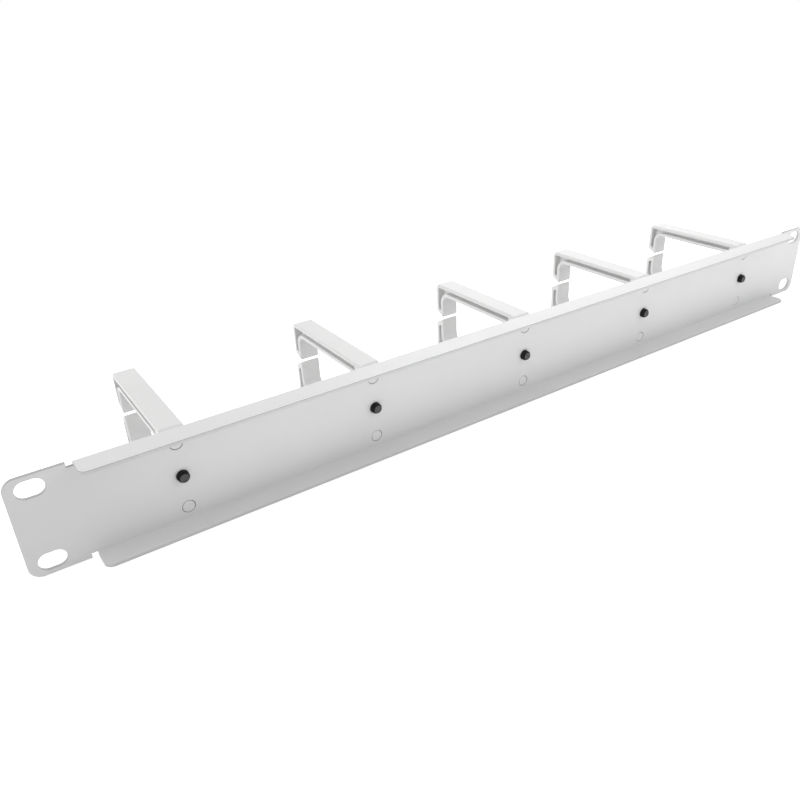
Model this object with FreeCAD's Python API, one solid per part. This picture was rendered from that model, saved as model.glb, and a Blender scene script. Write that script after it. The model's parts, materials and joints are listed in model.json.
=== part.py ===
import FreeCAD, Part
import math
import os

# Rack cable management panel, one unit high, in millimetres.
# X runs along the panel, +Y points into the rack and +Z is up.
# The face that lies on the rack rails is y = 0, with the four mounting slots centred on the origin.
# The cable rings stand out to the front, towards -Y.

# Folded sheet
sheet_thickness = 1.5
panel_width = 483.0
panel_height = 43.0
flange_depth = 12.0
inner_bend_radius = 0.3
ear_length = 24.5
ear_corner_radius = 5.0
flange_corner_radius = 3.5
relief_width = 2.4
relief_floor_gap = 0.1

# Mounting slots of a 19-inch rack
slot_end_distance = 8.95
slot_edge_distance = 5.625
slot_length = 10.4
slot_height = 7.2

# Cable rings
ring_count = 5
ring_end_distance = 61.5
ring_width = 10.0
ring_edge_gap = 0.4
ring_reach = 66.3
ring_section = 6.0
ring_skin = 2.0
ring_web = 2.5
ring_outer_radius = 2.5
ring_upper_radius = 4.0
ring_lower_radius = 7.5
ring_base_radius = 1.5
ring_edge_bevel = 0.6

# Mouth in the front leg of each ring
mouth_centre_z = 2.35
mouth_throat = 2.1
mouth_flare_angle = 30.0
mouth_cap = 1.6
mouth_tip_radius = 0.8

# Locating pegs on the base of each ring
peg_diameter = 5.2
peg_spacing = 29.7
peg_clearance = 0.2
peg_setback = 0.1
peg_chamfer = 0.25

# Screws, one through the base of each ring
screw_diameter = 5.0
screw_length = 10.0
screw_tip_chamfer = 0.6
screw_head_diameter = 9.5
screw_head_height = 3.7
screw_head_chamfer = 1.2
screw_recess_span = 4.9
screw_recess_width = 1.2
screw_recess_depth = 2.2
screw_ring_clearance = 0.25
screw_thread_clearance = 0.03

# How far a cutter runs past the face it cuts
cut_margin = 1.0

# Places worked out from the sizes above
front_face_y = -sheet_thickness
cut_front_y = front_face_y - cut_margin
flange_edge_y = front_face_y + flange_depth
outer_bend_radius = inner_bend_radius + sheet_thickness
relief_depth = outer_bend_radius + relief_floor_gap
half_width = panel_width / 2
half_height = panel_height / 2
half_flange = half_width - ear_length
slot_x = half_width - slot_end_distance
slot_z = half_height - slot_edge_distance
ring_front_y = front_face_y - ring_reach
ring_inner_front_y = ring_front_y + ring_section
ring_inner_base_y = front_face_y - ring_section
ring_half_height = half_height - ring_edge_gap
ring_inner_half_height = ring_half_height - ring_section
end_ring_x = half_width - ring_end_distance
ring_positions = [end_ring_x * (2 * i / (ring_count - 1) - 1) for i in range(ring_count)]
flare_slope = math.tan(math.radians(mouth_flare_angle))
cap_rise = mouth_cap / math.cos(math.radians(mouth_flare_angle))


def rounded_outline(corners):
    """Closed wire in the YZ plane through corners (y, z, radius), each rounded unless its radius is 0."""
    points = [FreeCAD.Vector(0, y, z) for y, z, _ in corners]
    bends = []
    for i, (_, _, radius) in enumerate(corners):
        here = points[i]
        before = (points[i - 1] - here).normalize()
        after = (points[(i + 1) % len(points)] - here).normalize()
        half_angle = before.getAngle(after) / 2
        reach = radius / math.tan(half_angle)
        bisector = (before + after).normalize()
        middle = here + bisector * (radius / math.sin(half_angle) - radius)
        bends.append((here + before * reach, middle, here + after * reach))
    edges = []
    for i, (start, middle, end) in enumerate(bends):
        if corners[i][2] > 0:
            edges.append(Part.Arc(start, middle, end).toShape())
        following = bends[(i + 1) % len(bends)][0]
        edges.append(Part.LineSegment(end, following).toShape())
    return Part.Wire(edges)


def prism(corners, x_from, x_to):
    """Solid between two X planes over a rounded outline in YZ."""
    face = Part.Face(rounded_outline(corners))
    face.translate(FreeCAD.Vector(x_from, 0, 0))
    return face.extrude(FreeCAD.Vector(x_to - x_from, 0, 0))


def block(x_from, x_to, y_from, y_to, z_from, z_to):
    """Box between six planes."""
    corner = FreeCAD.Vector(x_from, y_from, z_from)
    return Part.makeBox(x_to - x_from, y_to - y_from, z_to - z_from, corner)


def pin(x, z, diameter, y_from, y_to):
    """Cylinder along Y between two planes."""
    start = FreeCAD.Vector(x, y_from, z)
    return Part.makeCylinder(diameter / 2, y_to - y_from, start, FreeCAD.Vector(0, 1, 0))


def upright_edges(solid, direction, x_limit):
    """Straight edges along a direction whose middle lies at least x_limit from the centre."""
    picked = []
    for edge in solid.Edges:
        if len(edge.Vertexes) < 2:
            continue
        span = edge.Vertexes[1].Point - edge.Vertexes[0].Point
        along = abs(span.dot(direction))
        if along > 0.999 * edge.Length and abs(edge.CenterOfMass.x) >= x_limit:
            picked.append(edge)
    return picked


def folded_channel():
    """Face between the ears with both flanges, folded from one sheet."""
    outside = [
        (front_face_y, half_height, outer_bend_radius),
        (flange_edge_y, half_height, 0),
        (flange_edge_y, half_height - sheet_thickness, 0),
        (0, half_height - sheet_thickness, inner_bend_radius),
        (0, sheet_thickness - half_height, inner_bend_radius),
        (flange_edge_y, sheet_thickness - half_height, 0),
        (flange_edge_y, -half_height, 0),
        (front_face_y, -half_height, outer_bend_radius),
    ]
    channel = prism(outside, -half_flange, half_flange)
    corners = []
    for edge in upright_edges(channel, FreeCAD.Vector(0, 0, 1), half_flange - 0.01):
        if abs(edge.CenterOfMass.y - flange_edge_y) < 0.1:
            corners.append(edge)
    return channel.makeFillet(flange_corner_radius, corners)


def slot_cutter(x, z):
    """Horizontal slot with round ends, cut through the sheet."""
    reach = (slot_length - slot_height) / 2
    z_low = z - slot_height / 2
    middle = block(x - reach, x + reach, cut_front_y, cut_margin, z_low, z_low + slot_height)
    ends = [pin(x + side * reach, z, slot_height, cut_front_y, cut_margin) for side in (-1, 1)]
    return middle.fuse(ends)


def make_panel():
    """Folded panel with ears, relief notches, slots and the holes of the rings."""
    sheet = block(-half_width, half_width, front_face_y, 0, -half_height, half_height)
    ear_corners = upright_edges(sheet, FreeCAD.Vector(0, 1, 0), half_width - 0.01)
    sheet = sheet.makeFillet(ear_corner_radius, ear_corners)
    middle = block(-half_flange, half_flange, front_face_y, 0, -half_height, half_height)
    panel = sheet.cut(middle).fuse(folded_channel())
    cutters = []
    for side in (-1, 1):
        x_low = half_flange if side > 0 else -half_flange - relief_width
        for level in (-1, 1):
            z_low = level * half_height - relief_depth
            z_high = level * half_height + relief_depth
            notch = block(x_low, x_low + relief_width, cut_front_y, cut_margin, z_low, z_high)
            cutters.append(notch)
            cutters.append(slot_cutter(side * slot_x, level * slot_z))
    thread_hole = screw_diameter + 2 * screw_thread_clearance
    peg_hole = peg_diameter + 2 * peg_clearance
    for x in ring_positions:
        cutters.append(pin(x, 0, thread_hole, cut_front_y, cut_margin))
        for level in (-1, 1):
            cutters.append(pin(x, level * peg_spacing / 2, peg_hole, cut_front_y, cut_margin))
    return panel.cut(cutters).removeSplitter()


def lip_z(y, level, inset=0.0):
    """Height of the slanted lip above (level 1) or below (level -1) the mouth, set back by inset."""
    half_gap = mouth_throat / 2 + flare_slope * (ring_inner_front_y - y) + inset
    return mouth_centre_z + level * half_gap


def ring_outline():
    """Hoop split by the mouth, as one closed outline."""
    return [
        (ring_front_y, lip_z(ring_front_y, 1), mouth_tip_radius),
        (ring_front_y, ring_half_height, ring_outer_radius),
        (front_face_y, ring_half_height, ring_outer_radius),
        (front_face_y, -ring_half_height, ring_outer_radius),
        (ring_front_y, -ring_half_height, ring_outer_radius),
        (ring_front_y, lip_z(ring_front_y, -1), mouth_tip_radius),
        (ring_inner_front_y, lip_z(ring_inner_front_y, -1), mouth_tip_radius),
        (ring_inner_front_y, -ring_inner_half_height, ring_lower_radius),
        (ring_inner_base_y, -ring_inner_half_height, ring_base_radius),
        (ring_inner_base_y, ring_inner_half_height, ring_base_radius),
        (ring_inner_front_y, ring_inner_half_height, ring_upper_radius),
        (ring_inner_front_y, lip_z(ring_inner_front_y, 1), mouth_tip_radius),
    ]


def pocket_outline(level, corner_radius):
    """Groove along one arm and its half of the front leg, closed by a cap at the mouth."""
    outer_y = ring_front_y + ring_skin
    inner_y = ring_inner_front_y - ring_skin
    outer_z = level * (ring_half_height - ring_skin)
    inner_z = level * (ring_inner_half_height + ring_skin)
    return [
        (outer_y, lip_z(outer_y, level, cap_rise), 0),
        (outer_y, outer_z, ring_outer_radius - ring_skin),
        (ring_inner_base_y, outer_z, 0),
        (ring_inner_base_y, inner_z, 0),
        (inner_y, inner_z, corner_radius + ring_skin),
        (inner_y, lip_z(inner_y, level, cap_rise), 0),
    ]


def make_ring():
    """Moulded cable ring at x = 0: grooved hoop, open mouth, two pegs and a screw hole."""
    half_width = ring_width / 2
    hoop = prism(ring_outline(), -half_width, half_width)
    rims = [edge for edge in hoop.Edges if abs(abs(edge.CenterOfMass.x) - half_width) < 0.001]
    hoop = hoop.makeChamfer(ring_edge_bevel, rims)
    cutters = []
    for side in (-1, 1):
        for level, radius in ((1, ring_upper_radius), (-1, ring_lower_radius)):
            outline = pocket_outline(level, radius)
            cutters.append(prism(outline, side * ring_web / 2, side * (half_width + cut_margin)))
    screw_hole = screw_diameter + 2 * screw_ring_clearance
    cutters.append(pin(0, 0, screw_hole, ring_inner_base_y - cut_margin, 0))
    ring = hoop.cut(cutters)
    peg_root_y = front_face_y - ring_section / 2
    for level in (-1, 1):
        peg = pin(0, level * peg_spacing / 2, peg_diameter, peg_root_y, -peg_setback)
        rim = [edge for edge in peg.Edges if abs(edge.CenterOfMass.y + peg_setback) < 0.001]
        ring = ring.fuse(peg.makeChamfer(peg_chamfer, rim))
    return ring


def make_screw():
    """Pan head screw at x = 0, head against the base of the ring, tip behind the panel."""
    seat_y = ring_inner_base_y
    tip_y = seat_y + screw_length
    top_y = seat_y - screw_head_height
    shank = pin(0, 0, screw_diameter, seat_y, tip_y)
    tip = [edge for edge in shank.Edges if abs(edge.CenterOfMass.y - tip_y) < 0.001]
    shank = shank.makeChamfer(screw_tip_chamfer, tip)
    head = pin(0, 0, screw_head_diameter, top_y, seat_y)
    crown = [edge for edge in head.Edges if abs(edge.CenterOfMass.y - top_y) < 0.001]
    head = head.makeChamfer(screw_head_chamfer, crown)
    long_half = screw_recess_span / 2
    short_half = screw_recess_width / 2
    floor_y = top_y + screw_recess_depth
    open_y = top_y - cut_margin
    across = block(-long_half, long_half, open_y, floor_y, -short_half, short_half)
    upright = block(-short_half, short_half, open_y, floor_y, -long_half, long_half)
    return shank.fuse(head).cut([across, upright]).removeSplitter()


def write(name, shape):
    """Write one solid to its own file."""
    shape.exportStep(f"parts/{name}.step")


os.makedirs("parts", exist_ok=True)
write("panel", make_panel())
ring = make_ring()
screw = make_screw()
for number, x in enumerate(ring_positions, start=1):
    place = FreeCAD.Vector(x, 0, 0)
    write(f"cable_ring_{number}", ring.translated(place))
    write(f"screw_{number}", screw.translated(place))
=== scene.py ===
import json
import math

import bmesh
import bpy
from bpy.props import FloatProperty, FloatVectorProperty, IntProperty, PointerProperty
from mathutils import Matrix, Vector


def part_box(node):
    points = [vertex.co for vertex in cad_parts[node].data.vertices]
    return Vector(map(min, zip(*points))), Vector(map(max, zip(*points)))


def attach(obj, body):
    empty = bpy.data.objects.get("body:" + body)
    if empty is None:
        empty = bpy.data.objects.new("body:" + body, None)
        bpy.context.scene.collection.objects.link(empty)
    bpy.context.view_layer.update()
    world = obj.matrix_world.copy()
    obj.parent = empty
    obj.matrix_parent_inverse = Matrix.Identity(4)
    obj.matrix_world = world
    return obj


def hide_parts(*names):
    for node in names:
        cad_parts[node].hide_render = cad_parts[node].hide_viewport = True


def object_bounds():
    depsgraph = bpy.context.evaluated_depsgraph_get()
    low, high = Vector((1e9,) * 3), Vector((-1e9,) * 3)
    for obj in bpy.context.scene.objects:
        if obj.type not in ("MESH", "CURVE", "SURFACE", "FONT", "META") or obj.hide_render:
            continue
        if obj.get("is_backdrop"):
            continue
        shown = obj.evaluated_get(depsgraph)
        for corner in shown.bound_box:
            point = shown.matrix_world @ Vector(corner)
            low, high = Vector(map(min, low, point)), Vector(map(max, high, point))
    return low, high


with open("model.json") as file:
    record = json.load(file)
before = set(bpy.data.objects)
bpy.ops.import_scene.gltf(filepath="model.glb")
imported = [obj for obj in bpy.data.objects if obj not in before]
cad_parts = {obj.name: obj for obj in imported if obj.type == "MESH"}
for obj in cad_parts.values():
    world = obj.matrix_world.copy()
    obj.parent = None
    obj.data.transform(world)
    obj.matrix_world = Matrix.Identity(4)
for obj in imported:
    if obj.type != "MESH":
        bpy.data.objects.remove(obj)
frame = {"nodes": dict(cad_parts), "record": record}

bl_info = {
    "name": "Rack cable management panel",
    "version": (1, 0, 0),
    "blender": (4, 5, 0),
    "location": "3D View > Sidebar > Rack panel",
    "description": "Dresses a one-unit rack panel with five cable rings and sets it in a plain studio",
    "category": "Object",
}

MM = 0.001

# Tolerances in metres, least angles of a corner that is rounded and of an edge that shades sharp, facets
# across a rounded edge, and how much more a large face weighs in the shading
TOLERANCE = 1e-6
FOLD_TOLERANCE = 1e-7
CORNER_ANGLE = math.radians(60)
SHARP_ANGLE = math.radians(50)
EDGE_STEPS = 3
NORMAL_WEIGHT = 100

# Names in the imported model
PANEL_NODE = "panel"
RING_NODES = sorted(name for name in frame["nodes"] if name.startswith("cable_ring_"))
SCREW_NODES = sorted(name for name in frame["nodes"] if name.startswith("screw_"))
BODY = "root"

# Folded sheet, in metres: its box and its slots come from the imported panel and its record
PANEL_LOW, PANEL_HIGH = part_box(PANEL_NODE)
SLOTS = next(mount["dims"] for mount in frame["record"]["mounts"] if mount["name"] == "rack_slots")
SHEET = -PANEL_LOW[1]
HALF_WIDTH = PANEL_HIGH[0]
HALF_HEIGHT = PANEL_HIGH[2]
FLANGE_EDGE_Y = PANEL_HIGH[1]
EAR_RADIUS = 5.0 * MM
HALF_FLANGE = 217.0 * MM
FLANGE_RADIUS = 3.5 * MM
INNER_BEND = 0.3 * MM
RELIEF_WIDTH = 2.4 * MM
RELIEF_GAP = 0.1 * MM
THREAD_HOLE_RADIUS = 2.53 * MM
PEG_HOLE_RADIUS = 2.8 * MM
PEG_SPACING = 29.7 * MM
HOLE_STEPS = 48
BLANK_CORNER_STEPS = 12

# The flat blank is laid out by its length along the sheet's rear face
BEND_START = HALF_HEIGHT - SHEET - INNER_BEND
BEND_LENGTH = INNER_BEND * math.pi / 2
BLANK_REACH = BEND_START + BEND_LENGTH + FLANGE_EDGE_Y - INNER_BEND
RELIEF_FLOOR = BEND_START - RELIEF_GAP

# Painted shade on the sheet's faces that its finish reads: how much its corners, cut edges and hole rims
# are darkened, from 0 to 1
EDGE_SHADE_MARK = "thin_coat"
CUT_EDGE_SHADE = 0.85
FLANGE_EDGE_SHADE = 0.38
HOLE_EDGE_SHADE = 0.3

# Parts of a face's normal: least across the sheet on its flat sides, most across it on its cut edges, and
# least upward that a cut edge counts for
FLAT_FACE = 0.95
UPRIGHT_EDGE = 0.1
LEAST_UPWARD = 0.25

# Cable rings, each a grooved hoop with a mouth in its front leg; the throat is measured before its tips are
# rounded
RING_LOW, RING_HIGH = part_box(RING_NODES[0])
RING_HALF_WIDTH = (RING_HIGH[0] - RING_LOW[0]) / 2
RING_TOP = RING_HIGH[2]
RING_FRONT = RING_LOW[1]
RING_BACK = -SHEET
PEG_END = RING_HIGH[1]
SECTION = 6.0 * MM
INNER_TOP = RING_TOP - SECTION
INNER_FRONT = RING_FRONT + SECTION
INNER_BASE = RING_BACK - SECTION
SKIN = 2.0 * MM
WEB = 2.5 * MM
OUTER_RADIUS = 2.5 * MM
UPPER_RADIUS = 4.0 * MM
LOWER_RADIUS = 7.5 * MM
BASE_RADIUS = 1.5 * MM
MOUTH_Z = 1.65 * MM
MOUTH_HALF_THROAT = 0.14 * MM
MOUTH_ANGLE = math.radians(30)
MOUTH_CAP = 2.7 * MM
MOUTH_TIP = 0.8 * MM
PEG_RADIUS = 2.6 * MM
PEG_CHAMFER = 0.25 * MM
SCREW_HOLE_RADIUS = 2.75 * MM
TIGHT_CORNER = 1.0 * MM
TIGHT_CORNER_STEPS = 4
WIDE_CORNER_STEPS = 10
RIM_STEPS = 4
PEG_CHAMFER_STEPS = 2
RING_HOLE_STEPS = 40

# Screws, and the mark on their faces that their finish reads: how much painted highlight they get, from 0
# to 1
SHANK_RADIUS = 2.5 * MM
SHANK_CHAMFER = 0.6 * MM
CROWN_RADIUS = 2.0 * MM
CROWN_FLAT_INSET = 2.1 * MM
CROWN_STEPS = 6
RECESS_HALF = 0.55 * MM
RECESS_ARM = 1.3 * MM
RECESS_DEPTH = 2.2 * MM
RECESS_TAPER = 1.18
HIGHLIGHT_MARK = "rubbed"
CREST_HIGHLIGHT = 0.3

# Patterns of the finishes: where most values of a noise lie, and the heights of the coat's orange peel and
# of every finish's grain, in metres
NOISE_LOW = 0.3
NOISE_HIGH = 0.7
PEEL_HEIGHT = 0.05 * MM
GRAIN_HEIGHT = 0.01 * MM

# Studio, in metres; a softbox has the name of its power in the settings, its place and its size
FLOOR_REACH = 6.0
SOFTBOXES = (
    ("right", (1.45, -0.35, 0.7), 1.2),
    ("overhead", (0.0, -0.4, 1.6), 1.2),
    ("front_left", (-0.45, -0.45, 0.5), 0.5),
    ("rear_left", (-0.45, 0.45, 0.5), 0.5),
)
CARD_SIZE = (0.5, 0.25)
CARD_PLACE = (-0.06, 0.15)
CARD_HEIGHT = 0.001

# Camera of the photograph, for a square image
CAMERA_PLACE = (0.24167, 0.25566, 0.16202)
CAMERA_RIGHT = (-0.82735, 0.56025, -0.04028)
CAMERA_DOWN = (0.29394, 0.37073, -0.881)
CAMERA_FORWARD = (-0.47864, -0.74073, -0.4714)
FOCAL_PIXELS = 749.03
IMAGE_PIXELS = 800
SENSOR = 36.0
CLIP_RANGE = (0.01, 20.0)


class PanelSettings(bpy.types.PropertyGroup):
    """Coated sheet-metal panel."""

    colour: FloatVectorProperty(
        name="Coat colour",
        description="Colour of the powder coat",
        subtype="COLOR",
        size=3,
        min=0.0,
        max=1.0,
        default=(0.76, 0.76, 0.765),
    )
    # Painted shade: corners, cut edges and hole rims are darkened to this share of the coat colour in place
    # of their shade
    corner_shade: FloatProperty(
        name="Corner tone",
        description="Tone of the coat on sharp corners, where it is thin, against the coat beside them",
        subtype="FACTOR",
        min=0.0,
        max=1.0,
        default=0.55,
    )
    roughness: FloatProperty(
        name="Coat roughness",
        description="How dull the coat is",
        subtype="FACTOR",
        min=0.0,
        max=1.0,
        default=0.46,
    )
    edge: FloatProperty(
        name="Edge rounding",
        description="Radius that the coat leaves on cut edges",
        unit="LENGTH",
        min=0.05 * MM,
        max=0.4 * MM,
        default=0.22 * MM,
    )
    bend_steps: IntProperty(
        name="Bend steps",
        description="Facets across each fold",
        min=3,
        max=24,
        default=10,
    )


class RingSettings(bpy.types.PropertyGroup):
    """Moulded cable rings."""

    colour: FloatVectorProperty(
        name="Plastic colour",
        description="Colour of the moulded rings",
        subtype="COLOR",
        size=3,
        min=0.0,
        max=1.0,
        default=(0.78, 0.78, 0.775),
    )
    roughness: FloatProperty(
        name="Plastic roughness",
        description="How matt the moulding is",
        subtype="FACTOR",
        min=0.0,
        max=1.0,
        default=0.5,
    )
    rim: FloatProperty(
        name="Rim rounding",
        description="Radius of the long outer edges of a ring",
        unit="LENGTH",
        min=0.2 * MM,
        max=0.7 * MM,
        default=0.65 * MM,
    )
    edge: FloatProperty(
        name="Groove rounding",
        description="Radius that the mould leaves on the edges of the grooves",
        unit="LENGTH",
        min=0.05 * MM,
        max=0.3 * MM,
        default=0.2 * MM,
    )


class ScrewSettings(bpy.types.PropertyGroup):
    """Black pan head screws."""

    colour: FloatVectorProperty(
        name="Screw colour",
        description="Colour of the black coating",
        subtype="COLOR",
        size=3,
        min=0.0,
        max=1.0,
        default=(0.003, 0.003, 0.003),
    )
    # Painted highlight: this lighter colour on the tip and the thread crests stands in for their highlights
    rubbed: FloatVectorProperty(
        name="Rubbed colour",
        description="Colour where the coating is rubbed, on the tip and the crests of the thread",
        subtype="COLOR",
        size=3,
        min=0.0,
        max=1.0,
        default=(0.08, 0.08, 0.082),
    )
    pitch: FloatProperty(
        name="Thread pitch",
        description="Distance from one thread crest to the next",
        unit="LENGTH",
        min=0.4 * MM,
        max=1.5 * MM,
        default=0.8 * MM,
    )
    thread_depth: FloatProperty(
        name="Thread depth",
        description="Depth of the thread below its crest",
        unit="LENGTH",
        min=0.1 * MM,
        max=0.8 * MM,
        default=0.42 * MM,
    )
    turn_steps: IntProperty(
        name="Steps round",
        description="Facets round the screw",
        min=16,
        max=64,
        default=36,
    )
    pitch_steps: IntProperty(
        name="Steps a pitch",
        description="Facets along each thread",
        min=4,
        max=16,
        default=8,
    )


class StageSettings(bpy.types.PropertyGroup):
    """Floor and light."""

    floor_colour: FloatVectorProperty(
        name="Floor colour",
        description="Colour of the plain floor",
        subtype="COLOR",
        size=3,
        min=0.0,
        max=1.0,
        default=(0.96, 0.96, 0.96),
    )
    floor_glow: FloatProperty(
        name="Floor glow",
        description="How much lighter the floor looks than it is lit",
        min=0.0,
        max=1.0,
        default=0.5,
    )
    surround: FloatProperty(
        name="Surround",
        description="Strength of the even light from all sides",
        min=0.0,
        max=1.0,
        default=0.53,
    )
    right: FloatProperty(
        name="Right light",
        description="Power of the large softbox beyond the panel's right end",
        unit="POWER",
        min=0.0,
        default=8.9,
    )
    overhead: FloatProperty(
        name="Overhead light",
        description="Power of the large softbox above the panel's middle",
        unit="POWER",
        min=0.0,
        default=2.7,
    )
    front_left: FloatProperty(
        name="Front left light",
        description="Power of the small softbox before the panel's left end",
        unit="POWER",
        min=0.0,
        default=2.05,
    )
    rear_left: FloatProperty(
        name="Rear left light",
        description="Power of the small softbox behind the panel's left end",
        unit="POWER",
        min=0.0,
        default=0.95,
    )
    light_card: FloatProperty(
        name="Light card",
        description="Power of the glowing card that lies on the floor behind the panel",
        unit="POWER",
        min=0.0,
        default=0.21,
    )


def linked_object(bm, name, material):
    """Turn a bmesh into an object with a material."""
    mesh = bpy.data.meshes.new(name)
    bm.to_mesh(mesh)
    bm.free()
    mesh.materials.append(material)
    item = bpy.data.objects.new(name, mesh)
    bpy.context.collection.objects.link(item)
    return item


def finished_object(bm, name, node, material):
    """Turn a bmesh into a shaded object that stands for a CAD node."""
    piece = linked_object(bm, name, material)
    piece.data.shade_smooth()
    piece.data.set_sharp_from_angle(angle=SHARP_ANGLE)
    normals = piece.modifiers.new("Even shading", "WEIGHTED_NORMAL")
    normals.keep_sharp = True
    normals.weight = NORMAL_WEIGHT
    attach(piece, BODY)
    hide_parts(node)


def middle_x(node):
    """Place of the middle of a CAD node along the panel."""
    low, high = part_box(node)
    return (low[0] + high[0]) / 2


def new_verts(result):
    """Vertices that an operator made."""
    return [item for item in result["geom"] if isinstance(item, bmesh.types.BMVert)]


def convex_edges(bm):
    """Edges of the outside corners."""
    return [edge for edge in bm.edges if edge.is_manifold and edge.calc_face_angle_signed() > CORNER_ANGLE]


def round_edges(bm, edges, radius, segments):
    """Round a set of edges by a radius."""
    bmesh.ops.bevel(
        bm,
        geom=edges,
        offset=radius,
        offset_type="OFFSET",
        segments=segments,
        profile=0.5,
        affect="EDGES",
        clamp_overlap=False,
        loop_slide=False,
        material=-1,
    )


def round_corner(bm, corner, radius, segments):
    """Replace a corner between two edges by an arc of a radius."""
    apex = corner.co.copy()
    first, second = (edge.other_vert(corner).co - apex for edge in corner.link_edges)
    half_angle = first.angle(second) / 2
    arc = bmesh.ops.bevel(
        bm,
        geom=[corner],
        offset=radius / math.tan(half_angle),
        offset_type="OFFSET",
        segments=segments,
        profile=0.5,
        affect="VERTICES",
        clamp_overlap=False,
        material=-1,
    )["verts"]
    centre = apex + (first.normalized() + second.normalized()).normalized() * radius / math.sin(half_angle)
    for vert in arc:
        vert.co = centre + (vert.co - centre).normalized() * radius


def blank_outline(bm):
    """Outline of the unfolded sheet in the XZ plane, with rounded ears and flange ends."""
    quarter = [
        (HALF_FLANGE, BLANK_REACH, FLANGE_RADIUS),
        (HALF_FLANGE, RELIEF_FLOOR, 0.0),
        (HALF_FLANGE + RELIEF_WIDTH, RELIEF_FLOOR, 0.0),
        (HALF_FLANGE + RELIEF_WIDTH, HALF_HEIGHT, 0.0),
        (HALF_WIDTH, HALF_HEIGHT, EAR_RADIUS),
    ]
    half = quarter + [(x, -z, radius) for x, z, radius in reversed(quarter)]
    whole = half + [(-x, z, radius) for x, z, radius in reversed(half)]
    corners = [(bm.verts.new((x, 0.0, z)), radius) for x, z, radius in whole]
    for (here, _), (following, _) in zip(corners, corners[1:] + corners[:1]):
        bm.edges.new((here, following))
    for corner, radius in corners:
        if radius:
            round_corner(bm, corner, radius, BLANK_CORNER_STEPS)


def round_hole(bm, x, z, radius):
    """Closed ring of edges for a round hole, turned by half a step so that no corner is at its top."""
    upright = Matrix.Translation((x, 0.0, z)) @ Matrix.Rotation(math.pi / 2, 4, "X")
    place = upright @ Matrix.Rotation(math.pi / HOLE_STEPS, 4, "Z")
    return bmesh.ops.create_circle(bm, segments=HOLE_STEPS, radius=radius, matrix=place)["verts"]


def slot_hole(bm, x, z):
    """Closed ring of edges for a horizontal mounting slot: a circle pulled apart at its middle."""
    reach = SLOTS["slot_length_mm"] * MM / 2 - SLOTS["hole_r_mm"] * MM
    rim = round_hole(bm, x, z, SLOTS["hole_r_mm"] * MM)
    for vert in rim:
        vert.co.x += math.copysign(reach, vert.co.x - x)


def fold(place):
    """Move a point of the flat blank to its place on the folded sheet."""
    if abs(place.x) > HALF_FLANGE + RELIEF_WIDTH / 2 or abs(place.z) <= BEND_START:
        return place.copy()
    side = math.copysign(1.0, place.z)
    along = abs(place.z) - BEND_START
    angle = min(along / BEND_LENGTH, 1.0) * math.pi / 2
    straight = max(along - BEND_LENGTH, 0.0)
    radius = INNER_BEND - place.y
    y = INNER_BEND - radius * math.cos(angle) + straight
    z = BEND_START + radius * math.sin(angle)
    return Vector((place.x, y, side * z))


def painted_shade_of(face):
    """How much painted shade a face of the flat blank gets, from 0 to 1.

    It is darkest on corners, then on cut edges that face up, and none on the front and the rear.
    """
    forward = -face.normal.y
    place = face.calc_center_median()
    if abs(forward) > FLAT_FACE:
        return 0.0
    if abs(place.x) < HALF_FLANGE + SHEET / 2:
        if abs(place.z) < RELIEF_FLOOR - SHEET / 2:
            return HOLE_EDGE_SHADE
        return 1.0 if forward > UPRIGHT_EDGE and place.z > 0 else FLANGE_EDGE_SHADE
    if abs(forward) < UPRIGHT_EDGE:
        return CUT_EDGE_SHADE * max(face.normal.z, LEAST_UPWARD)
    return 1.0


def folded_sheet(settings):
    """Cut the blank with its holes, round its sharp corners and mark them with painted shade, and fold both
    flanges.
    """
    bm = bmesh.new()
    blank_outline(bm)
    for x_side in (-1, 1):
        for z_side in (-1, 1):
            slot_hole(bm, x_side * SLOTS["spacing_x_mm"] * MM / 2, z_side * SLOTS["spacing_y_mm"] * MM / 2)
    for node in RING_NODES:
        round_hole(bm, middle_x(node), 0.0, THREAD_HOLE_RADIUS)
        for z_side in (-1, 1):
            round_hole(bm, middle_x(node), z_side * PEG_SPACING / 2, PEG_HOLE_RADIUS)
    bmesh.ops.triangle_fill(bm, edges=bm.edges[:], use_beauty=True, use_dissolve=False)
    bmesh.ops.inset_region(
        bm,
        faces=bm.faces[:],
        thickness=2 * settings.edge,
        use_even_offset=True,
        use_boundary=True,
    )
    front = bmesh.ops.extrude_face_region(bm, geom=bm.faces[:])
    bmesh.ops.translate(bm, verts=new_verts(front), vec=(0.0, -SHEET, 0.0))
    bmesh.ops.recalc_face_normals(bm, faces=bm.faces[:])
    round_edges(bm, convex_edges(bm), settings.edge, EDGE_STEPS)
    # Painted shade: how dark each corner, cut edge and hole rim is painted
    thin = bm.faces.layers.float.new(EDGE_SHADE_MARK)
    for face in bm.faces:
        face[thin] = painted_shade_of(face)
    for z_side in (-1, 1):
        for step in range(settings.bend_steps + 1):
            level = z_side * (BEND_START + BEND_LENGTH * step / settings.bend_steps)
            bmesh.ops.bisect_plane(
                bm,
                geom=bm.verts[:] + bm.edges[:] + bm.faces[:],
                plane_co=(0.0, 0.0, level),
                plane_no=(0.0, 0.0, 1.0),
                dist=FOLD_TOLERANCE,
            )
    for vert in bm.verts:
        vert.co = fold(vert.co)
    return bm


def closed_outline(bm, corners, x):
    """Rounded outline in a YZ plane through (y, z, radius) corners, as a closed ring of new edges."""
    before = set(bm.edges)
    points = [(bm.verts.new((x, y, z)), radius) for y, z, radius in corners]
    for (here, _), (following, _) in zip(points, points[1:] + points[:1]):
        bm.edges.new((here, following))
    for corner, radius in points:
        if radius:
            steps = WIDE_CORNER_STEPS if radius > TIGHT_CORNER else TIGHT_CORNER_STEPS
            round_corner(bm, corner, radius, steps)
    return [edge for edge in bm.edges if edge not in before]


def lip_z(y, level, inset=0.0):
    """Height of the slanted lip above (level 1) or below (level -1) the mouth, set back by inset."""
    return MOUTH_Z + level * (MOUTH_HALF_THROAT + math.tan(MOUTH_ANGLE) * (INNER_FRONT - y) + inset)


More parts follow.
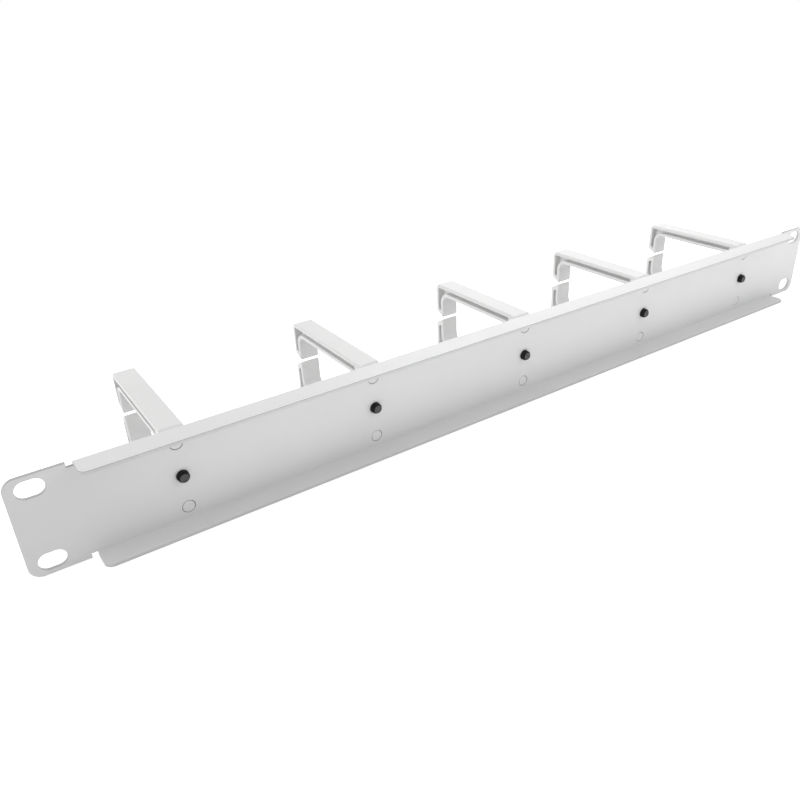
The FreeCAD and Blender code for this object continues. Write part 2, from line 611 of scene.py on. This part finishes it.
def hoop_corners():
    """Corners of the hoop, split by the mouth in its front leg."""
    return [
        (RING_FRONT, lip_z(RING_FRONT, 1), MOUTH_TIP),
        (RING_FRONT, RING_TOP, OUTER_RADIUS),
        (RING_BACK, RING_TOP, OUTER_RADIUS),
        (RING_BACK, -RING_TOP, OUTER_RADIUS),
        (RING_FRONT, -RING_TOP, OUTER_RADIUS),
        (RING_FRONT, lip_z(RING_FRONT, -1), MOUTH_TIP),
        (INNER_FRONT, lip_z(INNER_FRONT, -1), MOUTH_TIP),
        (INNER_FRONT, -INNER_TOP, LOWER_RADIUS),
        (INNER_BASE, -INNER_TOP, BASE_RADIUS),
        (INNER_BASE, INNER_TOP, BASE_RADIUS),
        (INNER_FRONT, INNER_TOP, UPPER_RADIUS),
        (INNER_FRONT, lip_z(INNER_FRONT, 1), MOUTH_TIP),
    ]


def groove_corners(level, inner_radius, margin=0.0):
    """Corners of the groove along one arm and its half of the front leg, set out by a margin."""
    outer_y = RING_FRONT + SKIN - margin
    inner_y = INNER_FRONT - SKIN + margin
    base_y = INNER_BASE + margin
    outer_z = level * (RING_TOP - SKIN + margin)
    inner_z = level * (INNER_TOP + SKIN - margin)
    cap = (MOUTH_CAP - margin) / math.cos(MOUTH_ANGLE)
    return [
        (outer_y, lip_z(outer_y, level, cap), 0.0),
        (outer_y, outer_z, OUTER_RADIUS - SKIN + margin),
        (base_y, outer_z, 0.0),
        (base_y, inner_z, 0.0),
        (inner_y, inner_z, inner_radius + SKIN - margin),
        (inner_y, lip_z(inner_y, level, cap), 0.0),
    ]


def half_ring(settings):
    """Right half of a ring about x = 0, open along its middle plane, with a groove in its side."""
    bm = bmesh.new()
    rim = closed_outline(bm, hoop_corners(), RING_HALF_WIDTH)
    bmesh.ops.contextual_create(bm, geom=rim)
    walls = bmesh.ops.extrude_edge_only(bm, edges=rim)
    bmesh.ops.translate(bm, verts=new_verts(walls), vec=(-RING_HALF_WIDTH, 0.0, 0.0))
    round_edges(bm, rim, settings.rim, RIM_STEPS)
    side = max(bm.faces, key=lambda face: len(face.verts))
    side_rim = side.edges[:]
    bmesh.ops.delete(bm, geom=[side], context="FACES_ONLY")
    grooves = []
    margins = []
    for level, radius in ((1, UPPER_RADIUS), (-1, LOWER_RADIUS)):
        groove = closed_outline(bm, groove_corners(level, radius), RING_HALF_WIDTH)
        margin = closed_outline(bm, groove_corners(level, radius, 2 * settings.edge), RING_HALF_WIDTH)
        bmesh.ops.bridge_loops(bm, edges=groove + margin)
        grooves += groove
        margins += margin
    floors = bmesh.ops.extrude_edge_only(bm, edges=grooves)
    bmesh.ops.translate(bm, verts=new_verts(floors), vec=(WEB / 2 - RING_HALF_WIDTH, 0.0, 0.0))
    open_edges = [edge for edge in bm.edges if edge.is_boundary]
    floor_edges = [edge for edge in open_edges if abs(edge.verts[0].co.x - WEB / 2) < TOLERANCE]
    bmesh.ops.triangle_fill(bm, edges=floor_edges, use_beauty=True)
    bmesh.ops.triangle_fill(bm, edges=side_rim + margins, use_beauty=True)
    bmesh.ops.recalc_face_normals(bm, faces=bm.faces[:])
    if sum(face.normal.x * face.calc_area() for face in bm.faces) < 0:
        bmesh.ops.reverse_faces(bm, faces=bm.faces[:])
    round_edges(bm, convex_edges(bm), settings.edge, EDGE_STEPS)
    return bm


def in_plane(item, y):
    """Whether an edge or a face lies in a plane across Y."""
    return all(abs(vert.co.y - y) < TOLERANCE for vert in item.verts)


def open_plane(bm, y):
    """Take away the flat face of the base in a plane and return the edges left round it."""
    bmesh.ops.delete(bm, geom=[face for face in bm.faces if in_plane(face, y)], context="FACES")
    return [edge for edge in bm.edges if edge.is_boundary and in_plane(edge, y)]


def hole_rim(bm, y, z, radius):
    """Closed ring of edges round the Y axis."""
    place = Matrix.Translation((0.0, y, z)) @ Matrix.Rotation(math.pi / 2, 4, "X")
    verts = bmesh.ops.create_circle(bm, segments=RING_HOLE_STEPS, radius=radius, matrix=place)["verts"]
    return list({edge for vert in verts for edge in vert.link_edges})


def ring_mesh(settings):
    """Whole cable ring about x = 0: both halves, the screw hole and two pegs."""
    bm = half_ring(settings)
    bmesh.ops.mirror(bm, geom=bm.verts[:] + bm.edges[:] + bm.faces[:], axis="X", merge_dist=TOLERANCE)
    front = open_plane(bm, INNER_BASE)
    front_hole = hole_rim(bm, INNER_BASE, 0.0, SCREW_HOLE_RADIUS)
    bmesh.ops.triangle_fill(bm, edges=front + front_hole, use_beauty=True)
    back = open_plane(bm, RING_BACK)
    back_hole = hole_rim(bm, RING_BACK, 0.0, SCREW_HOLE_RADIUS)
    pegs = [hole_rim(bm, RING_BACK, level * PEG_SPACING / 2, PEG_RADIUS) for level in (-1, 1)]
    bmesh.ops.triangle_fill(bm, edges=back + back_hole + pegs[0] + pegs[1], use_beauty=True)
    bmesh.ops.bridge_loops(bm, edges=front_hole + back_hole)
    for rim in pegs:
        shank = bmesh.ops.extrude_edge_only(bm, edges=rim)
        bmesh.ops.translate(bm, verts=new_verts(shank), vec=(0.0, PEG_END - RING_BACK, 0.0))
        end = [item for item in shank["geom"] if isinstance(item, bmesh.types.BMEdge) and item.is_boundary]
        bmesh.ops.contextual_create(bm, geom=end)
        round_edges(bm, end, PEG_CHAMFER, PEG_CHAMFER_STEPS)
    bmesh.ops.recalc_face_normals(bm, faces=bm.faces[:])
    return bm


def screw_profile(bm, axis_x, low, high, settings):
    """Half section of a screw, from the rim of its flat crown to the middle of its tip."""
    head = (high[0] - low[0]) / 2
    points = [
        (head - CROWN_FLAT_INSET, low[1]),
        (head, low[1]),
        (head, INNER_BASE),
        (SHANK_RADIUS, INNER_BASE),
        (SHANK_RADIUS, high[1] - SHANK_CHAMFER),
        (SHANK_RADIUS - SHANK_CHAMFER, high[1]),
        (0.0, high[1]),
    ]
    verts = [bm.verts.new((axis_x + radius, y, 0.0)) for radius, y in points]
    for pair in zip(verts, verts[1:]):
        bm.edges.new(pair)
    round_corner(bm, verts[1], CROWN_RADIUS, CROWN_STEPS)
    side_x = axis_x + SHANK_RADIUS
    side = [edge for edge in bm.edges if all(abs(vert.co.x - side_x) < TOLERANCE for vert in edge.verts)]
    turns = (high[1] - SHANK_CHAMFER - INNER_BASE) / settings.pitch
    bmesh.ops.subdivide_edges(bm, edges=side, cuts=int(turns * settings.pitch_steps))


def cut_thread(bm, axis_x, settings):
    """Sink the shank between the crests of a helix that fades out below the head."""
    for vert in bm.verts:
        across = Vector((vert.co.x - axis_x, 0.0, vert.co.z))
        along = vert.co.y - INNER_BASE
        if abs(across.length - SHANK_RADIUS) > TOLERANCE or along <= TOLERANCE:
            continue
        turn = math.atan2(across.z, across.x) / (2 * math.pi)
        phase = (along / settings.pitch + turn) % 1.0
        valley = 1.0 - abs(2.0 * phase - 1.0)
        fade = min(along / settings.pitch, 1.0)
        across *= 1.0 - fade * settings.thread_depth * valley / SHANK_RADIUS
        vert.co = (axis_x + across.x, vert.co.y, across.z)


def mark_highlight(bm, axis_x, tip, settings):
    """Mark the tip for a full painted highlight, and the crests of the thread for a slight one."""
    rubbed = bm.faces.layers.float.new(HIGHLIGHT_MARK)
    for face in bm.faces:
        place = face.calc_center_median()
        depth = SHANK_RADIUS - math.hypot(place.x - axis_x, place.z)
        if in_plane(face, tip):
            face[rubbed] = 1.0
        elif place.y > INNER_BASE:
            face[rubbed] = CREST_HIGHLIGHT * max(1.0 - depth / settings.thread_depth, 0.0) ** 2


def cross_recess(bm, axis_x, top):
    """Close the crown with a tapered cross recess inside its flat ring."""
    floor_y = top + RECESS_DEPTH
    centre = Vector((axis_x, floor_y, 0.0))
    place = Matrix.Translation(centre) @ Matrix.Rotation(math.pi / 2, 4, "X")
    floor = bmesh.ops.create_grid(bm, x_segments=1, y_segments=1, size=RECESS_HALF, matrix=place)["verts"]
    for edge in list({edge for vert in floor for edge in vert.link_edges}):
        outward = ((edge.verts[0].co + edge.verts[1].co) / 2 - centre).normalized()
        arm = bmesh.ops.extrude_edge_only(bm, edges=[edge])
        bmesh.ops.translate(bm, verts=new_verts(arm), vec=outward * RECESS_ARM)
    rim = [edge for edge in bm.edges if edge.is_boundary and in_plane(edge, floor_y)]
    lip = new_verts(bmesh.ops.extrude_edge_only(bm, edges=rim))
    bmesh.ops.translate(bm, verts=lip, vec=(0.0, -RECESS_DEPTH, 0.0))
    to_axis = Matrix.Translation((-axis_x, 0.0, 0.0))
    bmesh.ops.scale(bm, verts=lip, vec=(RECESS_TAPER, 1.0, RECESS_TAPER), space=to_axis)
    bmesh.ops.triangle_fill(bm, edges=[edge for edge in bm.edges if edge.is_boundary], use_beauty=True)


def screw_mesh(node, settings):
    """Pan head screw with a thread and a cross recess in the box of its CAD node."""
    low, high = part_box(node)
    axis_x = middle_x(node)
    bm = bmesh.new()
    screw_profile(bm, axis_x, low, high, settings)
    bmesh.ops.spin(
        bm,
        geom=bm.verts[:] + bm.edges[:],
        cent=(axis_x, 0.0, 0.0),
        axis=(0.0, 1.0, 0.0),
        angle=2 * math.pi,
        steps=settings.turn_steps,
        use_merge=True,
        use_duplicate=False,
    )
    bmesh.ops.remove_doubles(bm, verts=bm.verts[:], dist=TOLERANCE)
    cut_thread(bm, axis_x, settings)
    cross_recess(bm, axis_x, low[1])
    mark_highlight(bm, axis_x, high[1], settings)
    bmesh.ops.recalc_face_normals(bm, faces=bm.faces[:])
    return bm


def new_material(name, roughness, specular):
    """Principled material and the nodes that every finish here uses."""
    material = bpy.data.materials.new(name)
    material.use_nodes = True
    nodes = material.node_tree.nodes
    shader = nodes["Principled BSDF"]
    shader.inputs["Roughness"].default_value = roughness
    shader.inputs["Specular IOR Level"].default_value = specular
    where = nodes.new("ShaderNodeTexCoord").outputs["Object"]
    return material, nodes, material.node_tree.links, shader, where


def noise(nodes, links, where, scale, detail):
    """Noise pattern of a scale in features per metre."""
    texture = nodes.new("ShaderNodeTexNoise")
    texture.inputs["Scale"].default_value = scale
    texture.inputs["Detail"].default_value = detail
    links.new(where, texture.inputs["Vector"])
    return texture.outputs["Fac"]


def spread_noise(nodes, links, where, scale, detail, low, high):
    """Noise pattern whose middle range runs from low to high."""
    remap = nodes.new("ShaderNodeMapRange")
    remap.inputs["From Min"].default_value = NOISE_LOW
    remap.inputs["From Max"].default_value = NOISE_HIGH
    remap.inputs["To Min"].default_value = low
    remap.inputs["To Max"].default_value = high
    links.new(noise(nodes, links, where, scale, detail), remap.inputs["Value"])
    return remap.outputs["Result"]


def raised_noise(nodes, links, where, scale, detail, height, strength, under=None):
    """Bump of a noise pattern, over another bump if one is given."""
    bump = nodes.new("ShaderNodeBump")
    bump.inputs["Distance"].default_value = height
    bump.inputs["Strength"].default_value = strength
    links.new(noise(nodes, links, where, scale, detail), bump.inputs["Height"])
    if under:
        links.new(under, bump.inputs["Normal"])
    return bump.outputs["Normal"]


def uneven_roughness(nodes, links, where, shader, scale, middle, reach):
    """Let a shader's roughness wander about a middle value."""
    patch = spread_noise(nodes, links, where, scale, detail=2.0, low=middle - reach, high=middle + reach)
    links.new(patch, shader.inputs["Roughness"])


def tinted(nodes, links, colour, factor):
    """A colour made lighter and darker by a factor near one."""
    tint = nodes.new("ShaderNodeMix")
    tint.data_type = "RGBA"
    tint.blend_type = "MULTIPLY"
    tint.inputs["Factor"].default_value = 1.0
    tint.inputs["A"].default_value = (*colour, 1.0)
    links.new(factor, tint.inputs["B"])
    return tint.outputs["Result"]


def mark(nodes, name):
    """Value of a mark that the mesh carries."""
    attribute = nodes.new("ShaderNodeAttribute")
    attribute.attribute_name = name
    return attribute.outputs["Fac"]


def blended(nodes, links, factor, first, second):
    """Colour that runs from the first to the second with a factor."""
    mix = nodes.new("ShaderNodeMix")
    mix.data_type = "RGBA"
    links.new(factor, mix.inputs["Factor"])
    for name, colour in (("A", first), ("B", second)):
        if isinstance(colour, bpy.types.NodeSocket):
            links.new(colour, mix.inputs[name])
        else:
            mix.inputs[name].default_value = (*colour, 1.0)
    return mix.outputs["Result"]


def powder_coat(settings):
    """Light grey powder coat: faint cloudiness, a soft orange peel and a fine grain on it, and painted
    shade on its corners, cut edges and hole rims.
    """
    name = "light_grey_powder_coat"
    material, nodes, links, shader, where = new_material(name, settings.roughness, specular=0.45)
    cloud = spread_noise(nodes, links, where, scale=22.0, detail=3.0, low=0.985, high=1.01)
    coat = tinted(nodes, links, settings.colour, cloud)
    # Painted shade: the coat colour darkened on corners, cut edges and hole rims in place of their shade
    corner = [channel * settings.corner_shade for channel in settings.colour]
    links.new(blended(nodes, links, mark(nodes, EDGE_SHADE_MARK), coat, corner), shader.inputs["Base Color"])
    uneven_roughness(nodes, links, where, shader, scale=160.0, middle=settings.roughness, reach=0.04)
    peel = raised_noise(nodes, links, where, scale=750.0, detail=1.5, height=PEEL_HEIGHT, strength=0.35)
    grain = raised_noise(
        nodes,
        links,
        where,
        scale=3200.0,
        detail=1.0,
        height=GRAIN_HEIGHT,
        strength=0.4,
        under=peel,
    )
    links.new(grain, shader.inputs["Normal"])
    return material


def moulded_plastic(settings):
    """Pale matt plastic with the fine grain of a spark-eroded mould."""
    name = "pale_grey_plastic"
    material, nodes, links, shader, where = new_material(name, settings.roughness, specular=0.4)
    flow = spread_noise(nodes, links, where, scale=60.0, detail=2.0, low=0.985, high=1.01)
    links.new(tinted(nodes, links, settings.colour, flow), shader.inputs["Base Color"])
    uneven_roughness(nodes, links, where, shader, scale=300.0, middle=settings.roughness, reach=0.05)
    grain = raised_noise(nodes, links, where, scale=4200.0, detail=1.0, height=GRAIN_HEIGHT, strength=0.5)
    links.new(grain, shader.inputs["Normal"])
    return material


def black_steel(settings):
    """Black coated steel, with painted highlights in a greyer, blotchy colour on its tip and thread crests.
    """
    name = "black_coated_steel"
    material, nodes, links, shader, where = new_material(name, roughness=0.45, specular=0.16)
    blotch = spread_noise(nodes, links, where, scale=900.0, detail=3.0, low=0.6, high=1.5)
    # Painted highlight: greyer, blotchy colour for the tip and the thread crests
    rubbed = tinted(nodes, links, settings.rubbed, blotch)
    coating = blended(nodes, links, mark(nodes, HIGHLIGHT_MARK), settings.colour, rubbed)
    links.new(coating, shader.inputs["Base Color"])
    uneven_roughness(nodes, links, where, shader, scale=1500.0, middle=0.465, reach=0.085)
    grain = raised_noise(nodes, links, where, scale=5000.0, detail=2.0, height=GRAIN_HEIGHT, strength=0.4)
    links.new(grain, shader.inputs["Normal"])
    return material


def seen_directly(nodes, links):
    """One for camera, glossy and transmission rays, none for the rays that carry light on."""
    rays = nodes.new("ShaderNodeLightPath")
    total = rays.outputs["Is Camera Ray"]
    for name in ("Is Glossy Ray", "Is Transmission Ray"):
        either = nodes.new("ShaderNodeMath")
        either.operation = "MAXIMUM"
        links.new(total, either.inputs[0])
        links.new(rays.outputs[name], either.inputs[1])
        total = either.outputs["Value"]
    return total


def floor_material(settings):
    """Pale floor that looks white to the camera and keeps the object's shadow."""
    material = bpy.data.materials.new("plain_white_floor")
    material.use_nodes = True
    nodes = material.node_tree.nodes
    links = material.node_tree.links
    nodes.remove(nodes["Principled BSDF"])
    base = nodes.new("ShaderNodeBsdfDiffuse")
    base.inputs["Color"].default_value = (*settings.floor_colour, 1.0)
    glow = nodes.new("ShaderNodeEmission")
    lift = nodes.new("ShaderNodeMath")
    lift.operation = "MULTIPLY"
    lift.inputs[1].default_value = settings.floor_glow
    links.new(seen_directly(nodes, links), lift.inputs[0])
    links.new(lift.outputs["Value"], glow.inputs["Strength"])
    both = nodes.new("ShaderNodeAddShader")
    links.new(base.outputs["BSDF"], both.inputs[0])
    links.new(glow.outputs["Emission"], both.inputs[1])
    links.new(both.outputs["Shader"], nodes["Material Output"].inputs["Surface"])
    return material


def white_surround(settings):
    """World that is white to look at and gives even light."""
    world = bpy.data.worlds.new("white_studio")
    bpy.context.scene.world = world
    world.use_nodes = True
    nodes = world.node_tree.nodes
    links = world.node_tree.links
    sky = nodes["Background"]
    sky.inputs["Color"].default_value = (1.0, 1.0, 1.0, 1.0)
    level = nodes.new("ShaderNodeMapRange")
    level.inputs["To Min"].default_value = settings.surround
    level.inputs["To Max"].default_value = 1.0
    links.new(seen_directly(nodes, links), level.inputs["Value"])
    links.new(level.outputs["Result"], sky.inputs["Strength"])


def area_light(name, size, power, place, turn):
    """Area light that isn't seen itself, of a size along its own X and Y."""
    light = bpy.data.lights.new(name, "AREA")
    light.shape = "RECTANGLE"
    light.size, light.size_y = size
    light.energy = power
    lamp = bpy.data.objects.new(name, light)
    bpy.context.collection.objects.link(lamp)
    lamp.location = place
    lamp.rotation_euler = turn
    lamp.visible_camera = False


def softbox(name, size, power, place):
    """Square light that faces the middle of the panel."""
    turn = Vector(place).to_track_quat("Z", "Y").to_euler()
    area_light(name, (size, size), power, place, turn)


def light_card(floor_z, power):
    """Glowing card flat on the floor that faces up."""
    place = (*CARD_PLACE, floor_z + CARD_HEIGHT)
    area_light("light_card", CARD_SIZE, power, place, (math.pi, 0.0, 0.0))


def photograph_camera():
    """Camera at the photograph's place, turn and focal length."""
    data = bpy.data.cameras.new("photograph_camera")
    data.sensor_width = SENSOR
    data.lens = FOCAL_PIXELS / IMAGE_PIXELS * SENSOR
    data.clip_start, data.clip_end = CLIP_RANGE
    camera = bpy.data.objects.new("photograph_camera", data)
    bpy.context.collection.objects.link(camera)
    axes = Matrix((CAMERA_RIGHT, -Vector(CAMERA_DOWN), -Vector(CAMERA_FORWARD))).transposed()
    camera.matrix_world = Matrix.Translation(CAMERA_PLACE) @ axes.to_4x4()
    bpy.context.scene.camera = camera


class RACK_OT_panel(bpy.types.Operator):
    """Make the coated, folded panel"""

    bl_idname = "rack.make_panel"
    bl_label = "Coated panel"

    def execute(self, context):
        settings = context.scene.rack_panel
        material = powder_coat(settings)
        finished_object(folded_sheet(settings), "coated_panel", PANEL_NODE, material)
        return {"FINISHED"}


class RACK_OT_rings(bpy.types.Operator):
    """Make the five moulded cable rings"""

    bl_idname = "rack.make_rings"
    bl_label = "Cable rings"

    def execute(self, context):
        settings = context.scene.rack_rings
        if not RING_NODES:
            raise RuntimeError("the packed model has no cable rings")
        material = moulded_plastic(settings)
        shape = ring_mesh(settings)
        for number, node in enumerate(RING_NODES, start=1):
            bm = shape.copy()
            bmesh.ops.translate(bm, verts=bm.verts[:], vec=(middle_x(node), 0.0, 0.0))
            finished_object(bm, f"moulded_ring_{number}", node, material)
        shape.free()
        return {"FINISHED"}


class RACK_OT_screws(bpy.types.Operator):
    """Make the five black screws"""

    bl_idname = "rack.make_screws"
    bl_label = "Screws"

    def execute(self, context):
        settings = context.scene.rack_screws
        if not SCREW_NODES:
            raise RuntimeError("the packed model has no screws")
        material = black_steel(settings)
        for number, node in enumerate(SCREW_NODES, start=1):
            bm = screw_mesh(node, settings)
            finished_object(bm, f"black_screw_{number}", node, material)
        return {"FINISHED"}


class RACK_OT_stage(bpy.types.Operator):
    """Set the floor, the lights and the camera"""

    bl_idname = "rack.make_stage"
    bl_label = "Studio"

    def execute(self, context):
        settings = context.scene.rack_stage
        low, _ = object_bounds()
        bm = bmesh.new()
        level = Matrix.Translation((0.0, 0.0, low[2]))
        bmesh.ops.create_grid(bm, x_segments=1, y_segments=1, size=FLOOR_REACH, matrix=level)
        linked_object(bm, "studio_floor", floor_material(settings))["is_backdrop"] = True
        white_surround(settings)
        for name, place, size in SOFTBOXES:
            softbox(f"{name}_softbox", size, getattr(settings, name), place)
        light_card(low[2], settings.light_card)
        photograph_camera()
        context.scene.view_settings.view_transform = "Standard"
        return {"FINISHED"}


class RACK_PT_sidebar(bpy.types.Panel):
    """Buttons and sizes of the rack panel"""

    bl_label = "Rack panel"
    bl_idname = "RACK_PT_sidebar"
    bl_space_type = "VIEW_3D"
    bl_region_type = "UI"
    bl_category = "Rack panel"

    def draw(self, context):
        for operator, group in STEPS:
            box = self.layout.box()
            settings = getattr(context.scene, group)
            for name in settings.bl_rna.properties.keys():
                if name not in ("rna_type", "name"):
                    box.prop(settings, name)
            box.operator(operator.bl_idname)


GROUPS = {
    "rack_panel": PanelSettings,
    "rack_rings": RingSettings,
    "rack_screws": ScrewSettings,
    "rack_stage": StageSettings,
}
STEPS = (
    (RACK_OT_panel, "rack_panel"),
    (RACK_OT_rings, "rack_rings"),
    (RACK_OT_screws, "rack_screws"),
    (RACK_OT_stage, "rack_stage"),
)
CLASSES = (*GROUPS.values(), *(operator for operator, _ in STEPS), RACK_PT_sidebar)


def register():
    """Register every class and its settings."""
    for item in CLASSES:
        bpy.utils.register_class(item)
    for name, group in GROUPS.items():
        setattr(bpy.types.Scene, name, PointerProperty(type=group))


def unregister():
    """Take the settings and classes away again."""
    for name in GROUPS:
        delattr(bpy.types.Scene, name)
    for item in reversed(CLASSES):
        bpy.utils.unregister_class(item)


def main():
    """Dress the whole panel and set the stage."""
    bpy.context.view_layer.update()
    register()
    bpy.ops.rack.make_panel()
    bpy.ops.rack.make_rings()
    bpy.ops.rack.make_screws()
    bpy.ops.rack.make_stage()


if __name__ == "__main__":
    main()
